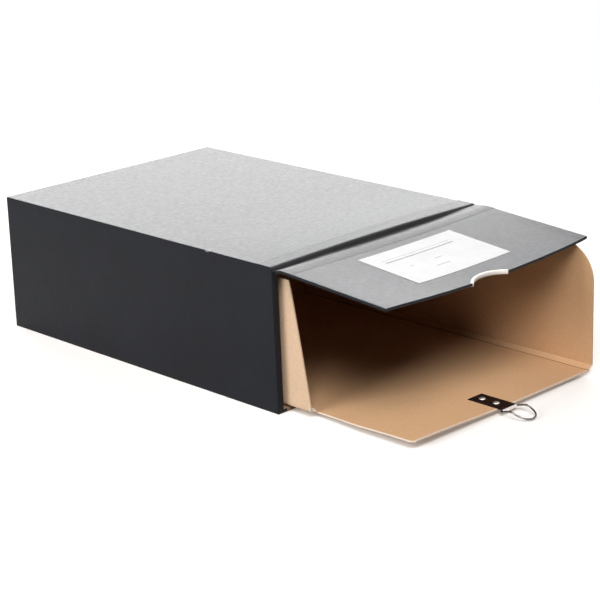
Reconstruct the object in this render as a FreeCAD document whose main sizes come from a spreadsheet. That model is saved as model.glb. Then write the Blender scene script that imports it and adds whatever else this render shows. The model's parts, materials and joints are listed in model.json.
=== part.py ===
"""File box: a paper-covered slipcase with a hinged front flap and a pull-out tray of folded board.

The frame: +Z up, the mouth faces -Y, +X to the right of someone who looks into the mouth, and the
origin in the middle of the slipcase's underside. Lengths are millimetres, angles degrees.
"""

import FreeCAD, Part

import os
import re

import Sketcher

os.makedirs("parts", exist_ok=True)
doc = FreeCAD.newDocument("file_box")

# ---------------------------------------------------------------- driving dimensions
SIZES = [
    # the slipcase
    ("case_depth", 350, "mouth to back, outside"),
    ("case_width", 250, "side to side, outside"),
    ("case_height", 125, "underside to top cover"),
    ("case_board", 3, "greyboard of the slipcase"),
    ("paper", 0.3, "covering paper and hinge cloth"),
    ("turn_in", 15, "covering paper folded into the mouth"),
    ("corner_cover", 10, "covering paper turned over each lower corner of the mouth"),
    # the hinge and the flap
    ("flap_core", 2, "greyboard of the flap"),
    ("hinge_groove", 4.5, "slipcase board to flap board"),
    ("cloth_on_case", 17.5, "hinge cloth on the slipcase's top, from the mouth"),
    ("cloth_on_flap", 18, "hinge cloth on the flap, from its rear edge"),
    ("cloth_split", 0.1, "gap between the two leaves of the hinge cloth at its axis"),
    ("flap_foot_gap", 3.6, "table to the flap's edge, when it hangs shut"),
    ("flap_droop", 4, "how far the open flap hangs below level, degrees"),
    ("notch_radius", 34, "round of the finger notch in the flap's edge"),
    ("notch_depth", 8, "how deep the finger notch goes"),
    ("edging_sheet", 0.4, "sheet of the notch's edging"),
    ("edging_leg", 2.8, "how far the edging grips over the flap"),
    ("label_width", 113, "label, side to side"),
    ("label_margin", 26, "label to the flap's front edge"),
    ("label_gap", 8.45, "label to the hinge cloth"),
    ("label_paper", 0.15, "label thickness"),
    # the tray
    ("tray_board", 1.5, "solid board of the tray"),
    ("side_gap", 4.2, "tray to slipcase, each side"),
    ("under_gap", 0.2, "tray to the slipcase's floor"),
    ("top_gap", 0.3, "tray walls to the open flap above them"),
    ("stop_gap", 0.7, "tray to the slipcase's back, pushed in"),
    ("setback", 1, "tray's front edge behind the mouth, pushed in"),
    ("pull_out", 138, "how far the tray is drawn out at rest"),
    ("crease_leg", 6, "outer leg of the sloping strip between two creases"),
    ("corner_radius", 32.7, "round of the right wall's front corner"),
    ("left_foot_cut", 104.5, "tray's front edge to the left wall's foot"),
    ("left_top_cut", 125.5, "tray's front edge to the left wall's top corner"),
    ("tape_leg", 28, "corner tape on each wall"),
    ("tape_sheet", 0.25, "corner tape thickness"),
    # the pull
    ("tab_width", 18, "pull tab, side to side"),
    ("tab_grip", 32, "pull tab on the tray's floor"),
    ("tab_overhang", 4.3, "tray's edge to the middle of the tab's knuckle"),
    ("tab_sheet", 0.6, "sheet of the pull tab"),
    ("wire_radius", 0.8, "wire of the pull ring"),
    ("knuckle_fit", 0.1, "clearance of the wire in the knuckle"),
    ("knuckle_wrap", 285, "how far the knuckle curls round the wire, degrees"),
    ("rivet_margin", 9, "tray's edge to the first rivet"),
    ("rivet_pitch", 14.7, "first rivet to the second"),
    ("rivet_head", 2.8, "radius of a rivet's head"),
    ("rivet_crown", 1.7, "radius of the flat on top of a rivet's head"),
    ("rivet_rise", 1.1, "height of a rivet's head"),
    ("rivet_shank", 1.3, "radius of a rivet's shank"),
    ("ring_leg", 10.5, "knuckle to the crank in the ring's legs"),
    ("ring_lift", 14, "how far the ring's legs rise to the crank, degrees"),
    ("ring_loop", 14.2, "crank to the ring's far end, to the middle of its wire"),
    ("ring_foot", 4, "wire inside the knuckle, each side"),
    ("foot_gap", 0.5, "knuckle's end to the wire that leaves it"),
    ("bend_radius", 1.8, "bend of the wire at each foot, to its middle"),
    ("ring_off_table", 0.2, "ring's far end above the table"),
]

# Places that several pieces share, worked out in the sheet from the driving dimensions.
DERIVED = [
    ("case_skin", "case_board + paper", "board and its covering paper"),
    ("mouth_line", "-case_depth / 2", "the mouth, along Y"),
    ("back_line", "case_depth / 2", "the back cover, along Y"),
    ("cavity_width", "case_width - 2 * case_skin", "inside of the slipcase, side to side"),
    ("axis_line", "mouth_line - hinge_groove / 2", "the flap's hinge axis, along Y"),
    ("axis_height", "case_height + paper", "the flap's hinge axis, along Z"),
    ("flap_reach", "axis_height - flap_foot_gap", "hinge axis to the flap's front edge"),
    ("flap_rear", "hinge_groove / 2", "hinge axis to the flap's rear edge"),
    ("flap_thick", "flap_core + 2 * paper", "flap board with its cover and lining"),
    ("label_height", "flap_reach - label_margin - flap_rear - cloth_on_flap - label_gap",
     "label, along the flap"),
    ("notch_centre", "flap_reach + notch_radius - notch_depth", "hinge axis to the notch's centre"),
    ("flap_low", "axis_height - flap_reach * sin(flap_droop) - (flap_thick + paper) * cos(flap_droop)",
     "lower front edge of the open flap, along Z"),
    ("half_tray", "case_width / 2 - case_skin - side_gap", "the tray's outer side, along X"),
    ("tray_base", "case_skin + under_gap", "the tray's underside, along Z"),
    ("floor_top", "tray_base + tray_board", "the tray's floor, along Z"),
    ("wall_top", "flap_low - top_gap", "top edge of the tray's walls, along Z"),
    ("tray_depth", "case_depth - case_skin - stop_gap - setback", "front edge to back, outside"),
    ("tray_front", "mouth_line + setback - pull_out", "the tray's front edge, along Y"),
    ("tray_back", "tray_front + tray_depth", "the tray's back wall, along Y"),
    ("inner_leg", "crease_leg + tray_board * tan(22.5)", "inner leg of the sloping strip"),
    ("knuckle_bore", "wire_radius + knuckle_fit", "inside of the tab's knuckle"),
    ("knuckle_outside", "knuckle_bore + tab_sheet", "outside of the tab's knuckle"),
    ("pull_line", "tray_front - tab_overhang", "the ring's axis, along Y"),
    ("pull_height", "floor_top - knuckle_bore", "the ring's axis, along Z"),
    ("ring_half", "tab_width / 2 + foot_gap + wire_radius", "half the ring's width, to its wire"),
    ("crank_height", "pull_height + ring_leg * sin(ring_lift)", "the crank in the ring's legs, along Z"),
    ("ring_droop", "asin((crank_height - wire_radius - ring_off_table) / ring_loop) / 1deg",
     "how far the ring falls from the crank to its far end, degrees"),
]

sheet = doc.addObject("Spreadsheet::Sheet", "sizes")
for row, (alias, value, note) in enumerate(SIZES + DERIVED, start=1):
    sheet.set(f"A{row}", alias)
    sheet.set(f"B{row}", f"={value}" if isinstance(value, str) else str(value))
    sheet.set(f"C{row}", note)
    sheet.setAlias(f"B{row}", alias)
doc.recompute()

ALIASES = {alias for alias, _, _ in SIZES + DERIVED}


def formula(text):
    """An expression on the sheet's values, from one written with their bare aliases."""
    return re.sub(r"[A-Za-z_]\w*", lambda word: ("sizes." if word[0] in ALIASES else "") + word[0], text)


def value(text):
    """What a formula comes to, as a plain number."""
    return float(sheet.evalExpression(formula(text)))


def bind(thing, **formulas):
    """Binds an object's properties to formulas on the sheet."""
    for name, text in formulas.items():
        thing.setExpression(name, formula(text))


def place(thing, x="0", y="0", z="0"):
    """Binds an object's position to formulas on the sheet."""
    for axis, text in zip("xyz", (x, y, z)):
        thing.setExpression("Placement.Base." + axis, formula(text))


def hang(thing, y, z, droop):
    """Puts an object's origin on an axis along X and lets its front hang down by an angle."""
    thing.Placement = FreeCAD.Placement(FreeCAD.Vector(), FreeCAD.Rotation(FreeCAD.Vector(1, 0, 0), 1))
    place(thing, "0", y, z)
    thing.setExpression("Placement.Rotation.Angle", formula(droop))


# ---------------------------------------------------------------- building blocks
def sheet_of_board(label, width, depth, height, x="0", y="0", z="0"):
    """A box that is centred on x and starts at y and z."""
    box = doc.addObject("Part::Box", label)
    bind(box, Length=width, Width=depth, Height=height)
    place(box, f"{x} - ({width}) / 2", y, z)
    return box


def upright_cylinder(label, radius, height, x="0", y="0", z="0"):
    cylinder = doc.addObject("Part::Cylinder", label)
    bind(cylinder, Radius=radius, Height=height)
    place(cylinder, x, y, z)
    return cylinder


def cut(label, base, tool):
    result = doc.addObject("Part::Cut", label)
    result.Base = base
    result.Tool = tool
    return result


def common(label, base, tool):
    result = doc.addObject("Part::Common", label)
    result.Base = base
    result.Tool = tool
    return result


def fuse(label, *shapes):
    result = doc.addObject("Part::MultiFuse", label)
    result.Shapes = list(shapes)
    return result


def sketch(owner, name, plane, offset="0"):
    """A sketch on one of a body's own origin planes, moved off it by a formula."""
    drawing = owner.newObject("Sketcher::SketchObject", name)
    face = next(part for part in owner.Origin.OriginFeatures if part.Role == plane)
    drawing.AttachmentSupport = [(face, "")]
    drawing.MapMode = "FlatFace"
    drawing.setExpression("AttachmentOffset.Base.z", formula(offset))
    return drawing


def outline(drawing, points):
    """A closed outline of straight edges in a sketch, each corner held at its pair of formulas."""
    corners = [FreeCAD.Vector(value(across), value(up), 0) for across, up in points]
    for here, there in zip(corners, corners[1:] + corners[:1]):
        drawing.addGeometry(Part.LineSegment(here, there))
    for edge, point in enumerate(points):
        following = (edge + 1) % len(points)
        drawing.addConstraint(Sketcher.Constraint("Coincident", edge, 2, following, 1))
        for direction, text in zip(("DistanceX", "DistanceY"), point):
            row = drawing.addConstraint(Sketcher.Constraint(direction, edge, 1, value(text)))
            drawing.setExpression(f"Constraints[{row}]", formula(text))


def padded_outline(label, plane, points, length, offset="0", midplane=False):
    """A body with one padded outline."""
    owner = doc.addObject("PartDesign::Body", label)
    drawing = sketch(owner, label + "_outline", plane, offset)
    outline(drawing, points)
    pad = owner.newObject("PartDesign::Pad", label + "_pad")
    pad.Profile = drawing
    pad.Midplane = midplane
    bind(pad, Length=length)
    drawing.Visibility = False
    return owner


def pocket(owner, drawing, length, midplane=False):
    """Cuts a sketch out of a body, and makes sure that the cut took something away."""
    doc.recompute()
    before = owner.Shape.Volume
    feature = owner.newObject("PartDesign::Pocket", drawing.Name + "_pocket")
    feature.Profile = drawing
    feature.Midplane = midplane
    bind(feature, Length=length)
    doc.recompute()
    if owner.Shape.Volume >= before:
        raise ValueError(f"{feature.Name} cuts nothing")
    return feature


# ---------------------------------------------------------------- the slipcase
def case_boards():
    """Five boards: the sides stand full height, and the floor, top and back fit between them."""
    inside_depth = "case_depth - 2 * paper"
    front = "mouth_line + paper"
    side_at = "(case_width / 2 - paper - case_board / 2)"
    side = ("case_board", inside_depth, "case_height - 2 * paper")
    flat = ("cavity_width", inside_depth, "case_board")
    return [
        sheet_of_board("slipcase_left_board", *side, x="-" + side_at, y=front, z="paper"),
        sheet_of_board("slipcase_right_board", *side, x=side_at, y=front, z="paper"),
        sheet_of_board("slipcase_bottom_board", *flat, y=front, z="paper"),
        sheet_of_board("slipcase_top_board", *flat, y=front, z="case_height - case_skin"),
        sheet_of_board("slipcase_back_board", "cavity_width", "case_board", "case_height - 2 * case_skin",
                       y="back_line - case_skin", z="case_skin"),
    ]


def case_papers():
    """The covering: base and back sheets, and one wrap over the sides and top, turned into the mouth."""
    base = sheet_of_board("slipcase_base_paper", "case_width", "case_depth", "paper", y="mouth_line")
    back = sheet_of_board("slipcase_back_paper", "case_width", "paper", "case_height - paper",
                          y="back_line - paper", z="paper")

    skin = cut(
        "wrap_skin",
        sheet_of_board("wrap_outside", "case_width", "case_depth - paper", "case_height - paper",
                       y="mouth_line", z="paper"),
        sheet_of_board("wrap_inside", "case_width - 2 * paper", "case_depth - 2 * paper",
                       "case_height - 2 * paper", y="mouth_line + paper", z="paper"),
    )
    sleeve = cut(
        "turn_in_sleeve",
        sheet_of_board("sleeve_outside", "cavity_width", "turn_in", "case_height - 2 * case_skin",
                       y="mouth_line", z="case_skin"),
        sheet_of_board("sleeve_inside", "cavity_width - 2 * paper", "turn_in",
                       "case_height - 2 * case_skin - paper", y="mouth_line", z="case_skin"),
    )
    window = fuse(
        "mouth_window",
        sheet_of_board("window_above_floor", "cavity_width - 2 * paper", "paper",
                       "case_height - 2 * case_skin - paper", y="mouth_line", z="case_skin"),
        sheet_of_board("window_at_floor", "case_width - 2 * corner_cover", "paper", "case_board",
                       y="mouth_line", z="paper"),
    )
    wrap = cut("slipcase_wrap_paper", fuse("wrap_with_turn_in", skin, sleeve), window)
    return [base, back, wrap]


def case_hinge_leaf():
    depth = "cloth_on_case + flap_rear - cloth_split / 2"
    return sheet_of_board("hinge_cloth_case_leaf", "case_width", depth, "paper",
                          y="axis_line + cloth_split / 2", z="case_height")


# ---------------------------------------------------------------- the flap
# Its pieces lie level with the hinge axis at their origin, and hang by flap_droop afterwards.
def notch_cutter(label):
    return upright_cylinder(label, "notch_radius", "2 * flap_thick", y="-notch_centre", z="-2 * flap_thick")


def flap_sheet(label, height, z):
    """A layer inside the cover's rim, with the finger notch cut from its front edge."""
    whole = sheet_of_board(label + "_uncut", "case_width - 2 * paper", "flap_reach - flap_rear - paper",
                           height, y="paper - flap_reach", z=z)
    return cut(label, whole, notch_cutter(label + "_notch"))


def flap_cover():
    """Covering paper over the flap's face, turned down over its two ends and its front edge."""
    outside = sheet_of_board("cover_outside", "case_width", "flap_reach - flap_rear", "flap_thick",
                             y="-flap_reach", z="-paper - flap_thick")
    inside = sheet_of_board("cover_inside", "case_width - 2 * paper", "flap_reach - flap_rear - paper",
                            "flap_thick - paper", y="paper - flap_reach", z="-paper - flap_thick")
    return cut("flap_cover_paper", cut("cover_uncut", outside, inside), notch_cutter("cover_notch"))


def level_sheet(label, width, front, rear, height):
    """A sheet that lies on the flap's cover."""
    left, right = f"-({width}) / 2", f"({width}) / 2"
    corners = [(left, front), (right, front), (right, rear), (left, rear)]
    return padded_outline(label, "XY_Plane", corners, height, offset="-paper")


def notch_edging():
    """A channel that grips the flap round the finger notch: a section turned about the notch's axis."""
    ring = doc.addObject("PartDesign::Body", "edging_ring")
    section = sketch(ring, "edging_section", "XZ_Plane", "notch_centre")
    face, lining = "-paper", "-paper - flap_thick"
    web, grip = "notch_radius - edging_sheet", "notch_radius + edging_leg"
    outline(section, [
        (web, f"{lining} - edging_sheet"),
        (grip, f"{lining} - edging_sheet"),
        (grip, lining),
        ("notch_radius", lining),
        ("notch_radius", face),
        (grip, face),
        (grip, f"{face} + edging_sheet"),
        (web, f"{face} + edging_sheet"),
    ])
    turn = ring.newObject("PartDesign::Revolution", "edging_turn")
    turn.Profile = section
    turn.ReferenceAxis = (section, ["V_Axis"])
    turn.Angle = 360
    section.Visibility = False
    over_flap = sheet_of_board("edging_limit", "case_width", "flap_reach - flap_rear", "3 * flap_thick",
                               y="-flap_reach", z="-2 * flap_thick")
    return common("notch_edging", ring, over_flap)


def flap_pieces():
    pieces = [
        flap_sheet("flap_board", "flap_core", "-2 * paper - flap_core"),
        flap_sheet("flap_lining_paper", "paper", "-paper - flap_thick"),
        flap_cover(),
        notch_edging(),
        level_sheet("hinge_cloth_flap_leaf", "case_width", "-flap_rear - cloth_on_flap",
                    "-cloth_split / 2", "paper"),
        level_sheet("title_label", "label_width", "label_margin - flap_reach",
                    "label_margin + label_height - flap_reach", "label_paper"),
    ]
    for piece in pieces:
        hang(piece, "axis_line", "axis_height", "flap_droop")
    return pieces


# ---------------------------------------------------------------- the tray
def rivet_lines():
    """Where the rivets stand, along Y."""
    return ["tray_front + rivet_margin", "tray_front + rivet_margin + rivet_pitch"]


def tray_floor():
    """The floor between the lower creases, with a hole for each rivet."""
    half = "(half_tray - inner_leg)"
    floor = padded_outline("tray_floor", "XY_Plane", [
        (f"-{half}", "tray_front"),
        (half, "tray_front"),
        (half, "tray_back - inner_leg"),
        (f"-{half}", "tray_back - inner_leg"),
    ], "tray_board", offset="tray_base")
    holes = sketch(floor, "floor_rivet_holes", "XY_Plane", "floor_top")
    for number, line in enumerate(rivet_lines()):
        middle = FreeCAD.Vector(0, value(line), 0)
        holes.addGeometry(Part.Circle(middle, FreeCAD.Vector(0, 0, 1), value("rivet_shank")))
        holes.addConstraint(Sketcher.Constraint("DistanceX", number, 3, 0.0))
        for kind, arguments, text in (("DistanceY", (number, 3), line), ("Radius", (number,), "rivet_shank")):
            row = holes.addConstraint(Sketcher.Constraint(kind, *arguments, value(text)))
            holes.setExpression(f"Constraints[{row}]", formula(text))
    pocket(floor, holes, "tray_board")
    return floor


def wall_section(side):
    """A side wall seen from the front: upright board, and the strip that slopes from crease to crease."""
    outside = f"{side} * half_tray"
    return [
        (outside, "wall_top"),
        (outside, "tray_base + crease_leg"),
        (f"{side} * (half_tray - crease_leg)", "tray_base"),
        (f"{side} * (half_tray - inner_leg)", "tray_base"),
        (f"{side} * (half_tray - inner_leg)", "floor_top"),
        (f"{side} * (half_tray - tray_board)", "tray_base + inner_leg"),
        (f"{side} * (half_tray - tray_board)", "wall_top"),
    ]


def edge_along_x(feature, y, z):
    """The name of a straight edge that runs along X through y and z."""
    for number, edge in enumerate(feature.Shape.Edges, start=1):
        ends = [(vertex.Y, vertex.Z) for vertex in edge.Vertexes]
        if len(ends) == 2 and all(abs(end[0] - y) + abs(end[1] - z) < 1e-4 for end in ends):
            return f"Edge{number}"
    raise ValueError(f"{feature.Name} has no edge along X at y {y}, z {z}")


def right_wall():
    """The full-length wall, whose upper front corner is a large round."""
    wall = padded_outline("tray_right_wall", "XZ_Plane", wall_section("1"), "tray_depth", offset="-tray_back")
    doc.recompute()
    pad = wall.Tip
    fillet = wall.newObject("PartDesign::Fillet", "front_corner_round")
    fillet.Base = (pad, [edge_along_x(pad, value("tray_front"), value("wall_top"))])
    bind(fillet, Radius="corner_radius")
    return wall


def left_wall():
    """The short wall, whose front edge leans back from its foot to its top."""
    wall = padded_outline("tray_left_wall", "XZ_Plane", wall_section("-1"), "tray_depth", offset="-tray_back")
    lean = sketch(wall, "left_wall_front_cut", "YZ_Plane", "-half_tray + inner_leg / 2")
    outline(lean, [
        ("tray_front - tray_board", "tray_base - tray_board"),
        ("tray_front + left_foot_cut", "tray_base - tray_board"),
        ("tray_front + left_foot_cut", "tray_base + inner_leg"),
        ("tray_front + left_top_cut", "wall_top"),
        ("tray_front + left_top_cut", "wall_top + tray_board"),
        ("tray_front - tray_board", "wall_top + tray_board"),
    ])
    pocket(wall, lean, "4 * inner_leg", midplane=True)
    return wall


def back_wall():
    """The back wall with its sloping strip, trimmed to stand between the two side walls' strips."""
    profile = padded_outline("back_wall_profile", "YZ_Plane", [
        ("tray_back", "wall_top"),
        ("tray_back", "tray_base + crease_leg"),
        ("tray_back - crease_leg", "tray_base"),
        ("tray_back - inner_leg", "tray_base"),
        ("tray_back - inner_leg", "floor_top"),
        ("tray_back - tray_board", "tray_base + inner_leg"),
        ("tray_back - tray_board", "wall_top"),
    ], "2 * half_tray", midplane=True)
    between_walls = padded_outline("back_wall_limit", "XZ_Plane", [
        ("-half_tray + inner_leg", "tray_base"),
        ("half_tray - inner_leg", "tray_base"),
        ("half_tray - inner_leg", "floor_top"),
        ("half_tray - tray_board", "tray_base + inner_leg"),
        ("half_tray - tray_board", "wall_top"),
        ("-half_tray + tray_board", "wall_top"),
        ("-half_tray + tray_board", "tray_base + inner_leg"),
        ("-half_tray + inner_leg", "floor_top"),
    ], "2 * inner_leg", offset="-tray_back")
    return common("tray_back_wall", profile, between_walls)


def corner_tape(label, side):
    """Gummed tape outside an upright rear corner, seen from above."""
    face, outer = f"{side} * half_tray", f"{side} * (half_tray + tape_sheet)"
    return padded_outline(label, "XY_Plane", [
        (outer, "tray_back + tape_sheet"),
        (f"{side} * (half_tray - tape_leg)", "tray_back + tape_sheet"),
        (f"{side} * (half_tray - tape_leg)", "tray_back"),
        (face, "tray_back"),
        (face, "tray_back - tape_leg"),
        (outer, "tray_back - tape_leg"),
    ], "wall_top - tray_base - crease_leg", offset="tray_base + crease_leg")


# ---------------------------------------------------------------- the pull
MITRED = 1      # how makePipeShell joins its runs at a corner


def pull_tab():
    """A steel strip riveted to the floor, its front end curled down into a knuckle for the ring."""
    strip = sheet_of_board("tab_strip", "tab_width", "tab_overhang + tab_grip", "tab_sheet",
                           y="pull_line", z="floor_top")
    curl, bore = (doc.addObject("Part::Cylinder", label) for label in ("knuckle_curl", "knuckle_hole"))
    bind(curl, Radius="knuckle_outside", Height="tab_width", Angle="knuckle_wrap")
    bind(bore, Radius="knuckle_bore", Height="tab_width")
    # A cylinder's own Z axis lies along X here, and its angle starts at the top and turns to the front.
    top, front, along = FreeCAD.Vector(0, 0, 1), FreeCAD.Vector(0, -1, 0), FreeCAD.Vector(1, 0, 0)
    for cylinder in (curl, bore):
        cylinder.Placement = FreeCAD.Placement(FreeCAD.Vector(), FreeCAD.Rotation(top, front, along))
        place(cylinder, "-tab_width / 2", "pull_line", "pull_height")
    knuckle = cut("tab_knuckle", curl, bore)
    holes = fuse("tab_rivet_holes", *[
        upright_cylinder(f"tab_rivet_hole_{number}", "rivet_shank", "tab_sheet", y=line, z="floor_top")
        for number, line in enumerate(rivet_lines(), start=1)
    ])
    return cut("pull_tab", fuse("tab_uncut", strip, knuckle), holes)


def tab_rivets():
    """Two rivets with bevelled heads, their tails flush with the floor's underside, in one group."""
    rivets = []
    for number, line in enumerate(rivet_lines(), start=1):
        head = doc.addObject("Part::Cone", f"rivet_head_{number}")
        bind(head, Radius1="rivet_head", Radius2="rivet_crown", Height="rivet_rise")
        place(head, "0", line, "floor_top + tab_sheet")
        shank = upright_cylinder(f"rivet_shank_{number}", "rivet_shank", "tray_board + tab_sheet",
                                 y=line, z="tray_base")
        rivets.append(fuse(f"rivet_{number}", head, shank))
    group = doc.addObject("Part::Compound", "tab_rivets")
    group.Links = rivets
    return group


def pull_ring():
    """A wire loop: two feet in the knuckle's ends, legs that rise to a crank, and a half round past it."""
    wire_radius, bend, half = value("wire_radius"), value("bend_radius"), value("ring_half")
    inner_end = value("tab_width / 2 - ring_foot")
    leg, straight = value("ring_leg"), value("ring_loop - ring_half")
    sideways = FreeCAD.Vector(1, 0, 0)
    rise = FreeCAD.Rotation(sideways, -value("ring_lift"))
    fall = FreeCAD.Rotation(sideways, value("ring_droop"))
    crank = rise.multVec(FreeCAD.Vector(0, -leg, 0))

    def near(across, outward):
        """A spot between the knuckle and the crank."""
        return rise.multVec(FreeCAD.Vector(across, -outward, 0))

    def far(across, outward):
        """A spot past the crank."""
        return crank + fall.multVec(FreeCAD.Vector(across, -outward, 0))

    def foot_bend(side):
        """The quarter turn from the foot to the ring's leg, about its own centre."""
        corner, turn = half - bend, bend * 0.5 ** 0.5
        return Part.Arc(near(side * corner, 0), near(side * (corner + turn), bend - turn),
                        near(side * half, bend)).toShape()

    centreline = Part.Wire([
        Part.makeLine(near(-inner_end, 0), near(bend - half, 0)),
        foot_bend(-1),
        Part.makeLine(near(-half, bend), crank + FreeCAD.Vector(-half, 0, 0)),
        Part.makeLine(crank + FreeCAD.Vector(-half, 0, 0), far(-half, straight)),
        Part.Arc(far(-half, straight), far(0, straight + half), far(half, straight)).toShape(),
        Part.makeLine(far(half, straight), crank + FreeCAD.Vector(half, 0, 0)),
        Part.makeLine(crank + FreeCAD.Vector(half, 0, 0), near(half, bend)),
        foot_bend(1),
        Part.makeLine(near(half - bend, 0), near(inner_end, 0)),
    ])
    section = Part.Wire(Part.makeCircle(wire_radius, near(-inner_end, 0), sideways))
    ring = doc.addObject("Part::Feature", "pull_ring")
    ring.Shape = centreline.makePipeShell([section], True, False, MITRED)
    place(ring, "0", "pull_line", "pull_height")
    return ring


# ---------------------------------------------------------------- the assembly
nodes = [
    *case_boards(),
    *case_papers(),
    case_hinge_leaf(),
    *flap_pieces(),
    tray_floor(),
    right_wall(),
    left_wall(),
    back_wall(),
    corner_tape("tray_left_corner_tape", "-1"),
    corner_tape("tray_right_corner_tape", "1"),
    pull_tab(),
    tab_rivets(),
    pull_ring(),
]
doc.recompute()

broken = [thing.Label for thing in doc.Objects if "Invalid" in thing.State or "Error" in thing.State]
broken += [node.Label for node in nodes if node.Shape.isNull() or not node.Shape.isValid()]
if broken:
    raise ValueError("these did not build: " + ", ".join(broken))

for node in nodes:
    node.Shape.exportStep(f"parts/{node.Label}.step")
    print(f"{node.Label}: {len(node.Shape.Solids)} solid, {node.Shape.Volume:.1f} mm3")
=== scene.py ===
"""The looks of the file box: black paper over board, a tan pull-out tray, and soft studio light."""

import json
import math

import bmesh
import bpy
from mathutils import Matrix, Vector

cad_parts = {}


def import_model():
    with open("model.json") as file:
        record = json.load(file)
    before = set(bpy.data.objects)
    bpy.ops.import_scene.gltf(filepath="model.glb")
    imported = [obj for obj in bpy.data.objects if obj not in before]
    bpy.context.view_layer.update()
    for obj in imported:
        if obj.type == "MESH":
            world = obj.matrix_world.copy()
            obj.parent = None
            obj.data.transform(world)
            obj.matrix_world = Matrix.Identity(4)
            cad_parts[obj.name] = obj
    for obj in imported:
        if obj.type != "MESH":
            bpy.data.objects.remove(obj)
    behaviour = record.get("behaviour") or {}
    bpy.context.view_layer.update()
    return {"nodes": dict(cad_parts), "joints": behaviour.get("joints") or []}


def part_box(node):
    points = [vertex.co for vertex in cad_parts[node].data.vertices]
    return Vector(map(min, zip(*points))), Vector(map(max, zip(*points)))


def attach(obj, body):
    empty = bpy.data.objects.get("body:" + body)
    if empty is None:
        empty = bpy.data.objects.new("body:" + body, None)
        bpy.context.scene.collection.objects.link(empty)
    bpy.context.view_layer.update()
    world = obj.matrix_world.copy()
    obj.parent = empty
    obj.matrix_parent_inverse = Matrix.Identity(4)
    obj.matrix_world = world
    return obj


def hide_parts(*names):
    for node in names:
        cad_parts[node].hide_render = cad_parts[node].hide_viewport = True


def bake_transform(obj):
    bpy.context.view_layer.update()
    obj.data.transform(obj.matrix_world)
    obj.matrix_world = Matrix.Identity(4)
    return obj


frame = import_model()

MM = 0.001
NODES = frame["nodes"]
JOINTS = {joint["name"]: joint for joint in frame["joints"]}

# ---------------------------------------------------------------- places, read from the frame
CASE_LOW, CASE_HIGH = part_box("slipcase_base_paper")[0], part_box("slipcase_wrap_paper")[1]
CASE_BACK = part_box("slipcase_back_paper")[1].y
MOUTH = CASE_LOW.y
HALF_WIDTH = CASE_HIGH.x
TOP = CASE_HIGH.z
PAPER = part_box("slipcase_base_paper")[1].z
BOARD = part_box("slipcase_bottom_board")[1].z - PAPER
SKIN = BOARD + PAPER
CLOTH_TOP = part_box("hinge_cloth_case_leaf")[1].z
CLOTH_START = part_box("hinge_cloth_case_leaf")[1].y
HINGE = Vector(JOINTS["flap_hinge"]["pos_m"])
TRAY_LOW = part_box("tray_floor")[0]
RING_AXIS = Vector(JOINTS["ring_swing"]["pos_m"])

# the flap at rest: how far it hangs below level, and its directions outward along it and up off its face
DROOP = math.radians(4)
OUTWARD = Vector((0, -math.cos(DROOP), -math.sin(DROOP)))
OFF_FACE = Vector((0, -math.sin(DROOP), math.cos(DROOP)))
FLAP_THICK = 2.6 * MM
REACH = 121.7 * MM
FLAP_REAR = MOUTH - HINGE.y
CLOTH_ON_FLAP = 18 * MM + FLAP_REAR
NOTCH_RADIUS = 32 * MM
NOTCH_DEPTH = 8.2 * MM
NOTCH_CENTRE = REACH + NOTCH_RADIUS - NOTCH_DEPTH
NOTCH_MIDDLE = -1.5 * MM

# ---------------------------------------------------------------- how the board has bent
# the slipcase's top near its mouth: it bows up between its sides, and its lip rolls down
LIP_RISE, LIP_FADE = 1.6 * MM, 130 * MM
LIP_ROLL, ROLL_LENGTH = 0.7 * MM, 2.8 * MM
TOP_BAND, TOP_BLEND = 0.8, 0.15
# the flap's sag between its ends, and the lift of each end
REAR_SAG, FRONT_SAG = 1.2 * MM, 5.3 * MM
LEFT_SAG_SHAPE, RIGHT_SAG_SHAPE = 1.3, 0.8
LEFT_LIFT, RIGHT_LIFT = 0.2 * MM, 1.5 * MM
LIFT_START = 15 * MM
# the flap's rear, rolled down into the groove: twice as far at its left end, half as far at its right end
GROOVE_DEPTH, GROOVE_LENGTH, GROOVE_SHAPE = 1.35 * MM, 9 * MM, 1.35
LEFT_GROOVE, LEFT_BLEND = 55 * MM, 65 * MM
RIGHT_GROOVE, RIGHT_BLEND = 65 * MM, 55 * MM
# the slipcase's left side, whose foot stands forward at the mouth
MOUTH_SLANT, SLANT_FADE = 2.6 * MM, 60 * MM
# the rims of the slipcase's sides, thicker inwards just inside the mouth, so that black paper stands where
# the gap beside the tray's walls lies in shade
HEM_TOP, HEM_FOOT = 3.4 * MM, 2.5 * MM
HEM_SKIN, HEM_SKIN_BLEND = 1.3 * MM, 1.6 * MM
HEM_INSIDE, HEM_INSIDE_BLEND = 119.5 * MM, 1 * MM
HEM_DEPTH = 7 * MM
# the tray's left wall: it leans in from the back to the mouth, and its sloping front end is trimmed
WALL_LEAN, LEAN_START, LEAN_LENGTH = 3.0 * MM, -50 * MM, 120 * MM
WALL_CUT, CUT_LENGTH = 3.0 * MM, 8 * MM
# the folds at the walls' feet: where the upper crease lies and how far it drops, and how the left fold's
# outer side is filled, at the corners near the height of the floor's foot and outside the floor
FOLD_LOW, FOLD_HIGH, FOLD_DROP = 9 * MM, 10.6 * MM, 1.6 * MM
FOLD_FILL = Vector((-5.0, 0, 2.0)) * MM
FOOT_NEAR, FOOT_OUTSIDE = 0.1 * MM, 0.3 * MM
# the tray's floor: drawn in beside the left wall, its free corner curled up and worn, its front rim paler,
# partly as wear and partly as a painted highlight
DRAWN_START, DRAWN_WIDTH = 20 * MM, 90 * MM
DRAWN_FRONT, DRAWN_LENGTH = 260 * MM, 50 * MM
CORNER_CURL, CURL_SHAPE = 3.2 * MM, 0.7
CURL_WIDTH, CURL_LENGTH = 120 * MM, 120 * MM
WORN_CORNER = 1.6 * MM
RIM_WEAR_AND_HIGHLIGHT = 1.1 * MM

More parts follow.
